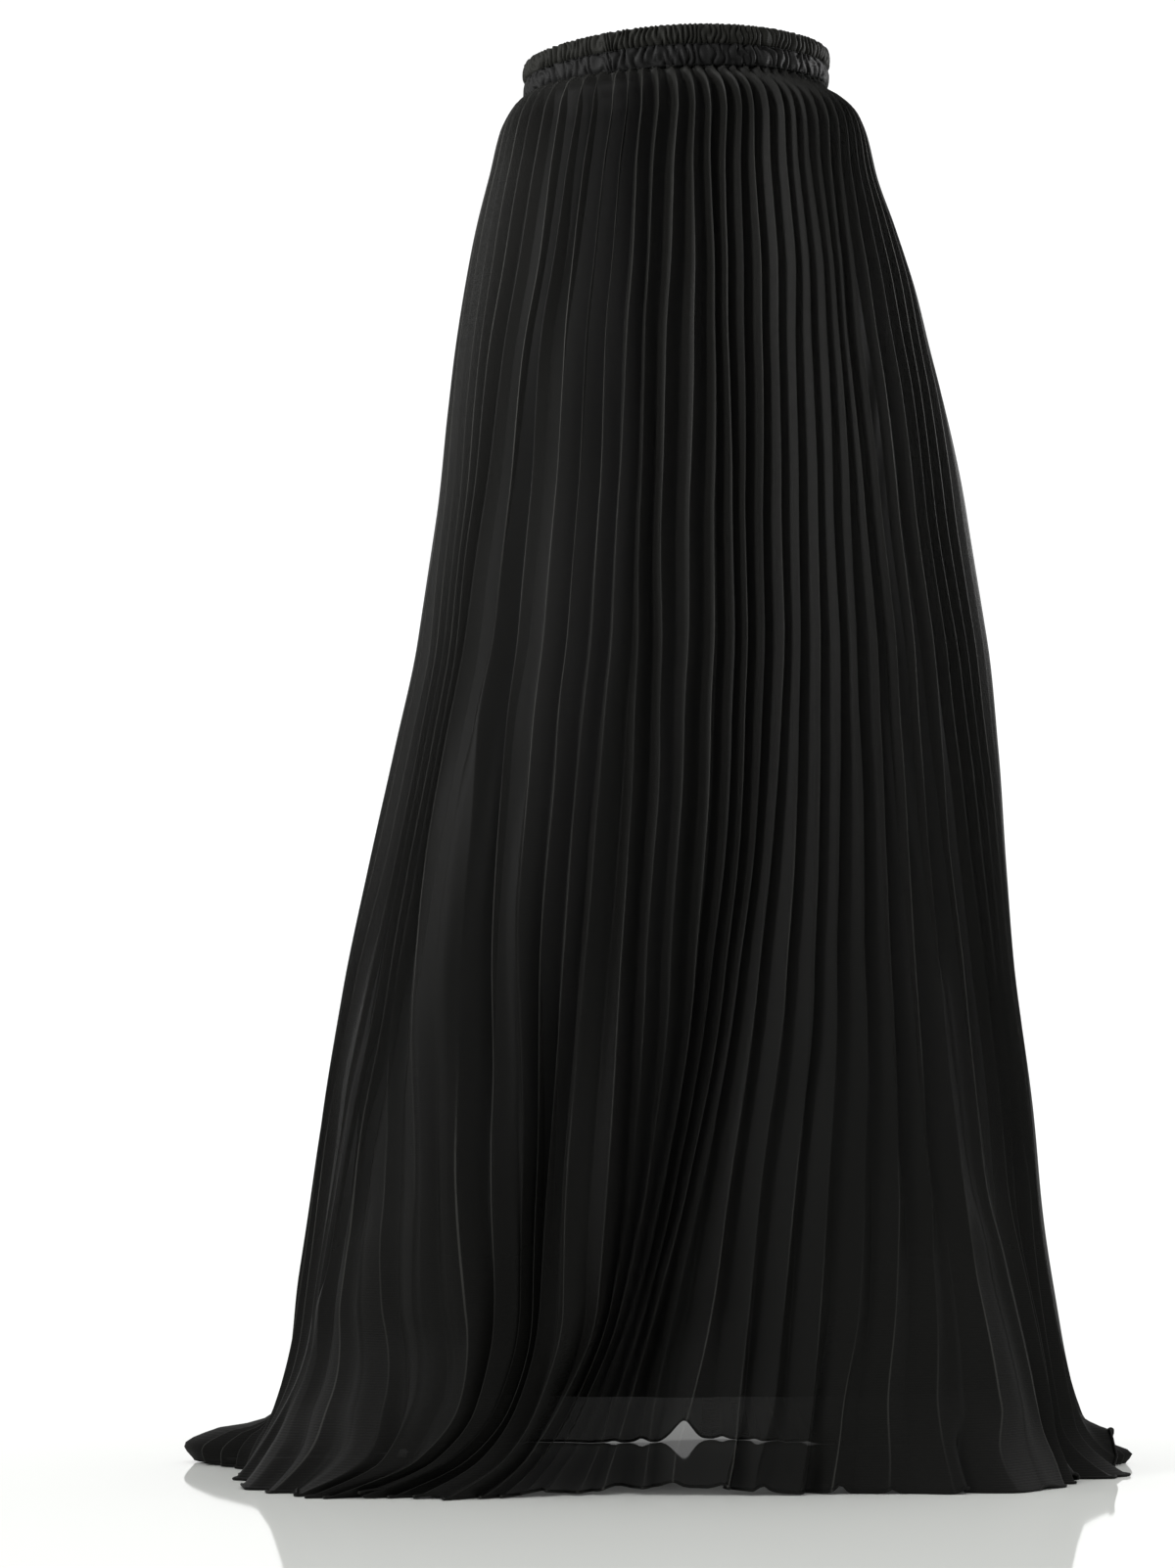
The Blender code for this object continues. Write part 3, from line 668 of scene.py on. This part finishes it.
def lining_level(sizes, share):
    """How far inside the section the lining lies, this share of the way down to its hem.

    It lies inside the deepest valley of the pleats at its height.
    """
    turns = np.arange(0, PLEATS, 1.0)
    ridge = turns + 0.5
    top = waist_line(sizes, azimuth_of(ridge, np.full_like(ridge, sizes.waist_height)), 0) - SEAM_GAP
    of_pleats = (sizes.waist_height - sizes.lining_hem) / (sizes.waist_height - sizes.hem_clearance)
    hem = hem_height(sizes, azimuth_of(ridge, np.zeros_like(ridge)))
    height = top + (hem - top) * share * of_pleats
    azimuth = azimuth_of(ridge, height)
    pushed = fold_push(ridge, height) + lobe_reach(azimuth, height - hem)
    radius = section_radius(azimuth, height) + pushed
    return np.max(pleat_depth(sizes, ridge, radius, height, top) / 2 - pushed)


def lining_cloth(sizes, turns, shares):
    """Points of the lining, and its flat coordinates: an A-line with soft waves towards the hem."""
    rows = shares[:, 0]
    seams = turns[0, [0, -1]] + 0.5
    inside = np.array([lining_level(sizes, share) for share in rows])[:, None]
    level = sizes.waist_height + (sizes.lining_hem - sizes.waist_height) * rows
    ends = np.stack([azimuth_of(seams, np.full(2, at)) for at in level])
    across = (turns - turns[0, 0]) / (turns[0, -1] - turns[0, 0])
    azimuth = ends[:, :1] + (ends[:, 1:] - ends[:, :1]) * across
    top = waist_line(sizes, azimuth, 0) + CASING_OVERLAP
    height = top + (sizes.lining_hem - top) * shares
    clearance = SEAM_GAP + sizes.lining_clearance * ease((top - height) / PLEAT_OPENING)
    edges = ease(across / STILL_EDGES) * ease((1 - across) / STILL_EDGES)
    phase = turns * WAVES_A_PLEAT + 0.5 * uneven(turns / 6, height, "lining")
    waves = 0.5 + 0.5 * np.sin(2 * np.pi * phase)
    waves = waves * edges * ease(shares) * LINING_WAVE_DEPTH
    radius = section_radius(azimuth, height) - inside - clearance - LINING_HALF_THICKNESS - waves
    flat = np.stack([azimuth * radius, height - sizes.waist_height], axis=-1)
    return place(sizes, azimuth, radius, height), flat


def casing_cloth(sizes, low, high, gathers, depth, slant, step):
    """Points of a gathered casing: a flat strap with rounded edges, carried round the waist.

    Its section is (t |cos s|^0.5, h |sin s|^0.6), signed, and its outer face is folded into
    gathers of uneven width and depth that lean by the slant.
    """
    turn = np.linspace(0, 2 * np.pi, STRAP_STEPS, endpoint=False)[:, None]
    azimuth = np.linspace(0, 2 * np.pi, gathers * COLUMNS_A_GATHER, endpoint=False)[None, :]
    cos, sin = np.cos(turn), -np.sin(turn)
    across = np.sign(cos) * np.abs(cos) ** 0.5
    upward = np.sign(sin) * np.abs(sin) ** 0.6
    outside = ease((across + 0.3) / 0.9)
    gather = azimuth / (2 * np.pi) * gathers
    lattice = gather * PLEATS / gathers
    up = upward + 2
    swing = uneven(lattice, up, "gathers") + 0.6 * uneven(lattice * 2, up, "small gathers")
    phase = gather + slant * upward / 2 + 0.7 * swing
    fold = np.abs(np.sin(np.pi * phase)) ** 0.6
    deep = depth * (1 + 0.60 * uneven(lattice * 2, up, "gather depth"))

    bottom = waist_line(sizes, azimuth, low) + (SEAM_GAP / 2 if low else 0)
    top = waist_line(sizes, azimuth, high) + (0 if low else CASING_OVERLAP / 2)
    height = (top + bottom) / 2 + (top - bottom) / 2 * upward
    height = height - 0.5 * deep * (1 - fold) * outside * np.abs(upward) ** 3 * np.sign(upward)
    middle, half = STRAP_MIDDLE + step / 2, STRAP_HALF + step / 2
    bulge = STRAP_BULGE * (1 - upward**2) * outside
    out = middle + half * across + bulge + deep * (fold - 0.6) * outside
    radius = section_radius(azimuth + 0 * turn, np.full(height.shape, sizes.waist_height)) + out
    flat = np.stack([azimuth * CLOTH_RADIUS + 0 * turn, height + 0 * azimuth], axis=-1)
    return place(sizes, azimuth + 0 * turn, radius, height), flat


# Meshes.


def add_mesh(name, points, faces, uv, material):
    """A smooth-shaded mesh object that rides with the skirt."""
    mesh = bpy.data.meshes.new(name)
    mesh.from_pydata(points.tolist(), [], faces)
    mesh.polygons.foreach_set("use_smooth", np.ones(len(mesh.polygons), bool))
    if uv is not None:
        corners = np.empty(len(mesh.loops), np.int32)
        mesh.loops.foreach_get("vertex_index", corners)
        layer = mesh.uv_layers.new(name="cloth")
        layer.data.foreach_set("uv", uv[corners].ravel().astype(np.float32))
    mesh.materials.append(material)
    mesh.validate()
    piece = bpy.data.objects.new(name, mesh)
    bpy.context.scene.collection.objects.link(piece)
    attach(piece, "root")
    return piece


def quads(rows, columns, close_rows=False, close_columns=False):
    """Faces that join neighbouring points of a grid, with rows from the top down."""
    index = np.arange(rows * columns).reshape(rows, columns)
    if close_rows:
        index = np.concatenate([index, index[:1]])
    if close_columns:
        index = np.concatenate([index, index[:, :1]], axis=1)
    return np.stack(
        [index[:-1, :-1], index[1:, :-1], index[1:, 1:], index[:-1, 1:]], axis=-1
    ).reshape(-1, 4)


def add_grid(name, points, uv, material, close_rows=False, close_columns=False):
    """A grid of points as a mesh object."""
    rows, columns = points.shape[:2]
    faces = quads(rows, columns, close_rows, close_columns)
    return add_mesh(name, points.reshape(-1, 3), faces.tolist(), uv.reshape(-1, 2), material)


def set_cover(piece, cover):
    """Gives each point of a piece its cover, which the chiffon's material reads."""
    layer = piece.data.attributes.new("cover", "FLOAT", "POINT")
    layer.data.foreach_set("value", cover.ravel().astype(np.float32))


def pleat_columns(first):
    """Places across a panel's pleats, closer together at the creases than between them."""
    t = np.linspace(first, first + PANEL_PLEATS, PANEL_PLEATS * COLUMNS_A_PLEAT + 1)
    return t - 0.063 * np.sin(4 * np.pi * t)


def cloth_rows(rows):
    """Places down the cloth, closer together at the waist and at the hem."""
    t = np.linspace(0, 1, rows)
    return 0.55 * t + 0.45 * (1 - np.cos(np.pi * t)) / 2


def tube_along(path, half_width):
    """A grid of rings round a path, with its ends drawn to a point. Rows run round the tube."""
    along = np.gradient(path, axis=0)
    along /= np.linalg.norm(along, axis=1, keepdims=True)
    up = np.array([0, 0, 1.0]) - along * along[:, 2:]
    up /= np.linalg.norm(up, axis=1, keepdims=True)
    side = np.cross(along, up)
    turn = np.linspace(0, 2 * np.pi, TUBE_SIDES, endpoint=False)[:, None, None]
    thick = np.full(len(path), half_width)
    thick[[0, -1]] = POINTED
    return path + thick[:, None] * (np.cos(turn) * up + np.sin(turn) * side)


# Materials.


def set_inputs(tree, node, inputs):
    """Sets a node's inputs, by name or number, each to a value or to another node's socket."""
    for key, value in inputs.items():
        if isinstance(value, bpy.types.NodeSocket):
            tree.links.new(value, node.inputs[key])
        else:
            node.inputs[key].default_value = value


def add_node(tree, kind, inputs, output=0, **settings):
    """Adds a node and gives one of its output sockets, the first unless another is named."""
    node = tree.nodes.new(kind)
    for name, value in settings.items():
        setattr(node, name, value)
    set_inputs(tree, node, inputs)
    return node.outputs[output]


def new_material(name):
    """A new material and its node tree."""
    material = bpy.data.materials.new(name)
    material.use_nodes = True
    return material, material.node_tree


def finished(material, surface):
    """The material, with the inputs of its Principled node set."""
    tree = material.node_tree
    set_inputs(tree, tree.nodes["Principled BSDF"], surface)
    return material


def crepe_bump(tree, grain, ribs, strength):
    """Crepe grain: short crinkles that lie across the cloth, over a faint cross rib.

    grain is the size of a crinkle across and along the cloth, and ribs the thread spacing, in metres.
    Both are given several times as coarse as in the real cloth, where they are too fine to show.
    """
    flat = add_node(tree, "ShaderNodeUVMap", {}, uv_map="cloth")
    grains = {"Vector": flat, "Scale": (1 / grain[0], 1 / grain[1], 1)}
    scaled = add_node(tree, "ShaderNodeMapping", grains)
    crinkles = {"Vector": scaled, "Scale": 1.0, "Detail": 2.0, "Roughness": 0.55}
    crinkle = add_node(tree, "ShaderNodeTexNoise", crinkles)
    along = add_node(tree, "ShaderNodeMapping", {"Vector": flat, "Scale": (1, 1 / ribs, 1)})
    wave = {"Vector": along, "Scale": 0.314, "Distortion": 3.0, "Detail": 1.0, "Detail Scale": 0.4}
    rib = add_node(tree, "ShaderNodeTexWave", wave, "Fac", bands_direction="Y")
    both = add_node(tree, "ShaderNodeMath", {0: rib, 1: 0.35, 2: crinkle}, operation="MULTIPLY_ADD")
    relief = {"Height": both, "Strength": strength, "Distance": 0.0004}
    return flat, crinkle, add_node(tree, "ShaderNodeBump", relief)


def crepe_chiffon(colours, pleat):
    """Polyester crepe chiffon, dyed black and pleated by heat.

    Fine twisted yarns in an open weave: light passes between them, so one layer veils what is
    behind it. The crinkled yarns give a soft sheen that fades at a glancing angle, where they
    hide each other. A thin painted highlight, a lighter base colour, runs along the ridges.
    pleat is the width of one pleat's cloth. The mesh's own cover says how many plies lie together.
    """
    material, tree = new_material("black_crepe_chiffon")
    flat, crinkle, bump = crepe_bump(tree, (0.0030, 0.0012), 0.0017, 0.55)
    threads = {0: crinkle, 6: (*colours.chiffon, 1), 7: (*colours.chiffon_light, 1)}
    tone = add_node(tree, "ShaderNodeMix", threads, 2, data_type="RGBA")
    # Painted highlight: a lighter base colour in a thin line along each ridge.
    shine = {0: painted_ridge_highlight_line(tree, flat, pleat), 6: tone, 7: (*colours.painted_ridge_highlight, 1)}
    facing = add_node(tree, "ShaderNodeLayerWeight", {"Blend": 0.5}, "Facing")
    gloss = {"Value": facing, "From Min": 0.45, "From Max": 0.95, "To Min": 0.055, "To Max": 0.012}
    surface = {
        "Base Color": add_node(tree, "ShaderNodeMix", shine, 2, data_type="RGBA"),
        "Roughness": 0.52,
        "Specular IOR Level": add_node(tree, "ShaderNodeMapRange", gloss),
        "Sheen Weight": 0.02,
        "Sheen Roughness": 0.35,
        "Sheen Tint": (0.9, 0.9, 0.88, 1),
        "Alpha": add_node(tree, "ShaderNodeAttribute", {}, "Fac", attribute_name="cover"),
        "Normal": bump,
    }
    return finished(material, surface)


def painted_ridge_highlight_line(tree, flat, pleat):
    """Mask of the painted highlight: a thin line along each ridge that comes and goes, from 0 to 1."""
    across = add_node(tree, "ShaderNodeSeparateXYZ", {"Vector": flat}, "X")
    pleats = add_node(tree, "ShaderNodeMath", {0: across, 1: pleat}, operation="DIVIDE")
    from_valley = add_node(tree, "ShaderNodeMath", {0: pleats, 1: 0.5}, operation="PINGPONG")
    near_ridge = {"Value": from_valley, "From Min": 0.474, "From Max": 0.494}
    line = add_node(tree, "ShaderNodeMapRange", near_ridge, interpolation_type="SMOOTHSTEP")
    lengths = add_node(tree, "ShaderNodeMapping", {"Vector": flat, "Scale": (1 / pleat, 4.5, 1)})
    patch = add_node(tree, "ShaderNodeTexNoise", {"Vector": lengths, "Scale": 1.0, "Detail": 1.0})
    shown = {"Value": patch, "From Min": 0.40, "From Max": 0.70, "To Min": 0.05}
    strength = add_node(tree, "ShaderNodeMapRange", shown)
    return add_node(tree, "ShaderNodeMath", {0: line, 1: strength}, operation="MULTIPLY")


def gathered_crepe(name, base, roughness):
    """The same crepe in two layers over elastic: opaque, and duller where it is gathered."""
    material, tree = new_material(name)
    _, crinkle, bump = crepe_bump(tree, (0.0022, 0.0012), 0.0017, 0.35)
    darker, lighter = ((*(channel * share for channel in base), 1) for share in (0.75, 1.3))
    threads = {0: crinkle, 6: darker, 7: lighter}
    surface = {
        "Base Color": add_node(tree, "ShaderNodeMix", threads, 2, data_type="RGBA"),
        "Roughness": roughness,
        "Specular IOR Level": 0.04,
        "Sheen Weight": 0.02,
        "Sheen Roughness": 0.4,
        "Normal": bump,
    }
    return finished(material, surface)


def lining_satin(colours):
    """Plain-weave polyester lining: opaque, smooth and a little shiny."""
    material, tree = new_material("black_lining")
    _, crinkle, bump = crepe_bump(tree, (0.010, 0.004), 0.0012, 0.12)
    worn = {"Value": crinkle, "To Min": 0.38, "To Max": 0.50}
    surface = {
        "Base Color": (*colours.lining, 1),
        "Roughness": add_node(tree, "ShaderNodeMapRange", worn),
        "Specular IOR Level": 0.25,
        "Normal": bump,
    }
    return finished(material, surface)


def sewing_thread(colours):
    """Spun polyester thread, matt, with a fine twist that only dulls it at this distance."""
    material, tree = new_material("black_thread")
    place_in = add_node(tree, "ShaderNodeTexCoord", {}, "Object")
    twist = add_node(tree, "ShaderNodeTexNoise", {"Vector": place_in, "Scale": 1 / THREAD_TWIST})
    relief = {"Height": twist, "Strength": 0.3, "Distance": 0.0001}
    surface = {
        "Base Color": (*colours.thread, 1),
        "Roughness": 0.7,
        "Specular IOR Level": 0.06,
        "Normal": add_node(tree, "ShaderNodeBump", relief),
    }
    return finished(material, surface)


def lacquered_floor(colours):
    """White lacquered board with a low gloss: at a low angle it mirrors what stands on it."""
    material, tree = new_material("white_lacquered_floor")
    place_in = add_node(tree, "ShaderNodeTexCoord", {}, "Object")
    haze = add_node(tree, "ShaderNodeTexNoise", {"Vector": place_in, "Scale": 3.0, "Detail": 3.0})
    polish = {"Value": haze, "To Min": 0.03, "To Max": 0.06}
    surface = {
        "Base Color": (*colours.floor, 1),
        "Roughness": add_node(tree, "ShaderNodeMapRange", polish),
        "IOR": 1.1,
    }
    return finished(material, surface)


def add_light(scene, name, location, aim, size, power, spread):
    """A softbox with a grid at a place, turned to face another. The grid sets its spread."""
    light = bpy.data.lights.new(name, "AREA")
    light.shape = "RECTANGLE"
    light.size, light.size_y = size
    light.energy = power
    light.spread = math.radians(spread)
    lamp = bpy.data.objects.new(name, light)
    lamp.location = location
    x, y, z = (a - b for a, b in zip(aim, location))
    lamp.rotation_euler = (math.atan2(math.hypot(x, y), -z), 0, math.atan2(-x, y))
    scene.collection.objects.link(lamp)


# Operators, one for each piece or group of like pieces.


class SKIRT_OT_panels(bpy.types.Operator):
    """Add the two pleated panels of crepe chiffon"""

    bl_idname = "skirt.panels"
    bl_label = "Pleated panels"

    def execute(self, context):
        sizes = context.scene.skirt_sizes
        material = crepe_chiffon(context.scene.skirt_colours, 2 * sizes.pleat_leg)
        for name, first in (("skirt_front", 0), ("skirt_back", PANEL_PLEATS)):
            turns, shares = np.meshgrid(pleat_columns(first), cloth_rows(PANEL_ROWS))
            points, flat = pleated_cloth(sizes, turns, shares)
            cloth = add_grid(name + "_chiffon", points, flat, material)
            set_cover(cloth, cover_of(sizes, turns, points))
            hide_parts(name)

            path = points[-1] + np.array([0, 0, sizes.rolled_hem / 2])
            hem = add_grid(
                name + "_rolled_hem",
                tube_along(path, sizes.rolled_hem / 2),
                np.broadcast_to(flat[-1], (TUBE_SIDES, *flat[-1].shape)),
                material,
                close_rows=True,
            )
            set_cover(hem, np.full(len(hem.data.vertices), 1 - BARE**HEM_PLIES))
        return {"FINISHED"}


class SKIRT_OT_lining(bpy.types.Operator):
    """Add the two A-line lining panels"""

    bl_idname = "skirt.lining"
    bl_label = "Lining"

    def execute(self, context):
        sizes = context.scene.skirt_sizes
        material = lining_satin(context.scene.skirt_colours)
        for name, first in (("lining_front", 0), ("lining_back", PANEL_PLEATS)):
            columns = first + np.linspace(0, PANEL_PLEATS, LINING_COLUMNS)
            turns, shares = np.meshgrid(columns, cloth_rows(LINING_ROWS))
            points, flat = lining_cloth(sizes, turns, shares)
            cloth = add_grid(name + "_cloth", points, flat, material)
            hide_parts(name)
        return {"FINISHED"}


class SKIRT_OT_casings(bpy.types.Operator):
    """Add the two gathered elastic casings"""

    bl_idname = "skirt.casings"
    bl_label = "Gathered casings"

    def execute(self, context):
        sizes = context.scene.skirt_sizes
        colours = context.scene.skirt_colours
        gathers = {"upper": sizes.upper_gathers, "lower": sizes.lower_gathers}
        # The lower casing's darker colour is painted shade below the upper casing.
        casing_colours_with_painted_shade = {"upper": colours.upper_casing, "lower": colours.lower_casing}
        for tier, low, high, depth, slant, step, roughness in CASINGS:
            name = "waistband_" + tier
            points, flat = casing_cloth(sizes, low, high, gathers[tier], depth, slant, step)
            material = gathered_crepe("gathered_crepe_" + tier, casing_colours_with_painted_shade[tier], roughness)
            cloth = add_grid(
                name + "_casing", points, flat, material, close_rows=True, close_columns=True
            )
            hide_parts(name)
        return {"FINISHED"}


class SKIRT_OT_stitching(bpy.types.Operator):
    """Add the rows of stitches on the casings"""

    bl_idname = "skirt.stitching"
    bl_label = "Stitching"

    def execute(self, context):
        sizes = context.scene.skirt_sizes
        material = sewing_thread(context.scene.skirt_colours)
        stitches = round(STITCHED_LENGTH / (sizes.stitch * STITCH_PITCH))
        azimuth = np.linspace(0, 2 * np.pi, stitches, endpoint=False)
        ends = np.array([-0.5, -0.3, 0.3, 0.5]) * sizes.stitch
        thick = np.array([0.3, 1.0, 1.0, 0.3]) * THREAD_RADIUS
        ring = np.linspace(0, 2 * np.pi, 5, endpoint=False)
        for name, share, out in STITCH_ROWS:
            radius = section_radius(azimuth, np.full_like(azimuth, sizes.waist_height)) + out
            turn = azimuth[:, None, None] + ends[None, :, None] / radius[:, None, None]
            away = radius[:, None, None] + thick[None, :, None] * np.cos(ring)
            height = waist_line(sizes, turn, share) + thick[None, :, None] * np.sin(ring)
            points = place(sizes, turn + 0 * away, away, height)
            one = [*quads(4, 5, close_columns=True).tolist(), [4, 3, 2, 1, 0], [15, 16, 17, 18, 19]]
            faces = [[i + k * 20 for i in face] for k in range(stitches) for face in one]
            add_mesh(name, points.reshape(-1, 3), faces, None, material)
        return {"FINISHED"}


class SKIRT_OT_stage(bpy.types.Operator):
    """Add the floor, the soft lights and the camera"""

    bl_idname = "skirt.stage"
    bl_label = "Stage"

    def execute(self, context):
        scene = context.scene
        sizes = scene.skirt_sizes
        floor_mesh = bpy.data.meshes.new("floor")
        corners = [
            (x * FLOOR_HALF, y * FLOOR_HALF, -sizes.waist_height)
            for x, y in ((-1, -1), (1, -1), (1, 1), (-1, 1))
        ]
        floor_mesh.from_pydata(corners, [], [(0, 1, 2, 3)])
        floor_mesh.materials.append(lacquered_floor(scene.skirt_colours))
        floor = bpy.data.objects.new("floor", floor_mesh)
        scene.collection.objects.link(floor)

        world = bpy.data.worlds.new("white_studio")
        world.use_nodes = True
        background = world.node_tree.nodes["Background"]
        background.inputs["Color"].default_value = (1.0, 1.0, 1.0, 1)
        background.inputs["Strength"].default_value = WORLD_STRENGTH
        scene.world = world

        for name, at, aim, width, height, power, spread in LIGHTS:
            add_light(scene, name, at, aim, (width, height), power, spread)

        camera = bpy.data.cameras.new("camera")
        camera.lens = LENS
        camera.sensor_width = SENSOR
        camera.clip_end = 100
        seat = bpy.data.objects.new("camera", camera)
        seat.location = (0, -CAMERA_DISTANCE, CAMERA_HEIGHT - sizes.waist_height)
        seat.rotation_euler = (math.radians(90 + CAMERA_PITCH), 0, math.radians(CAMERA_TURN))
        scene.collection.objects.link(seat)
        scene.camera = seat
        scene.view_settings.view_transform = "Standard"
        scene.view_settings.look = "None"
        return {"FINISHED"}


class SKIRT_PT_panel(bpy.types.Panel):
    """The skirt's pieces in the sidebar of the 3D view"""

    bl_idname = "SKIRT_PT_panel"
    bl_label = "Pleated Maxi Skirt"
    bl_space_type = "VIEW_3D"
    bl_region_type = "UI"
    bl_category = "Skirt"

    def draw(self, context):
        layout = self.layout
        for group in (context.scene.skirt_sizes, context.scene.skirt_colours):
            box = layout.box()
            for name in group.bl_rna.properties.keys():
                if name not in ("rna_type", "name"):
                    box.prop(group, name)
        for operator in OPERATORS:
            layout.operator(operator.bl_idname)


OPERATORS = (SKIRT_OT_panels, SKIRT_OT_lining, SKIRT_OT_casings, SKIRT_OT_stitching, SKIRT_OT_stage)
CLASSES = (SkirtSizes, SkirtColours, *OPERATORS, SKIRT_PT_panel)


def register():
    """Registers the classes and gives the scene its sizes and colours."""
    for thing in CLASSES:
        bpy.utils.register_class(thing)
    bpy.types.Scene.skirt_sizes = bpy.props.PointerProperty(type=SkirtSizes)
    bpy.types.Scene.skirt_colours = bpy.props.PointerProperty(type=SkirtColours)


def unregister():
    """Takes back what register does."""
    del bpy.types.Scene.skirt_colours
    del bpy.types.Scene.skirt_sizes
    for thing in reversed(CLASSES):
        bpy.utils.unregister_class(thing)


def main():
    """Builds the skirt and its stage."""
    register()
    bpy.ops.skirt.casings()
    bpy.ops.skirt.panels()
    bpy.ops.skirt.lining()
    bpy.ops.skirt.stitching()
    bpy.ops.skirt.stage()


if __name__ == "__main__":
    main()
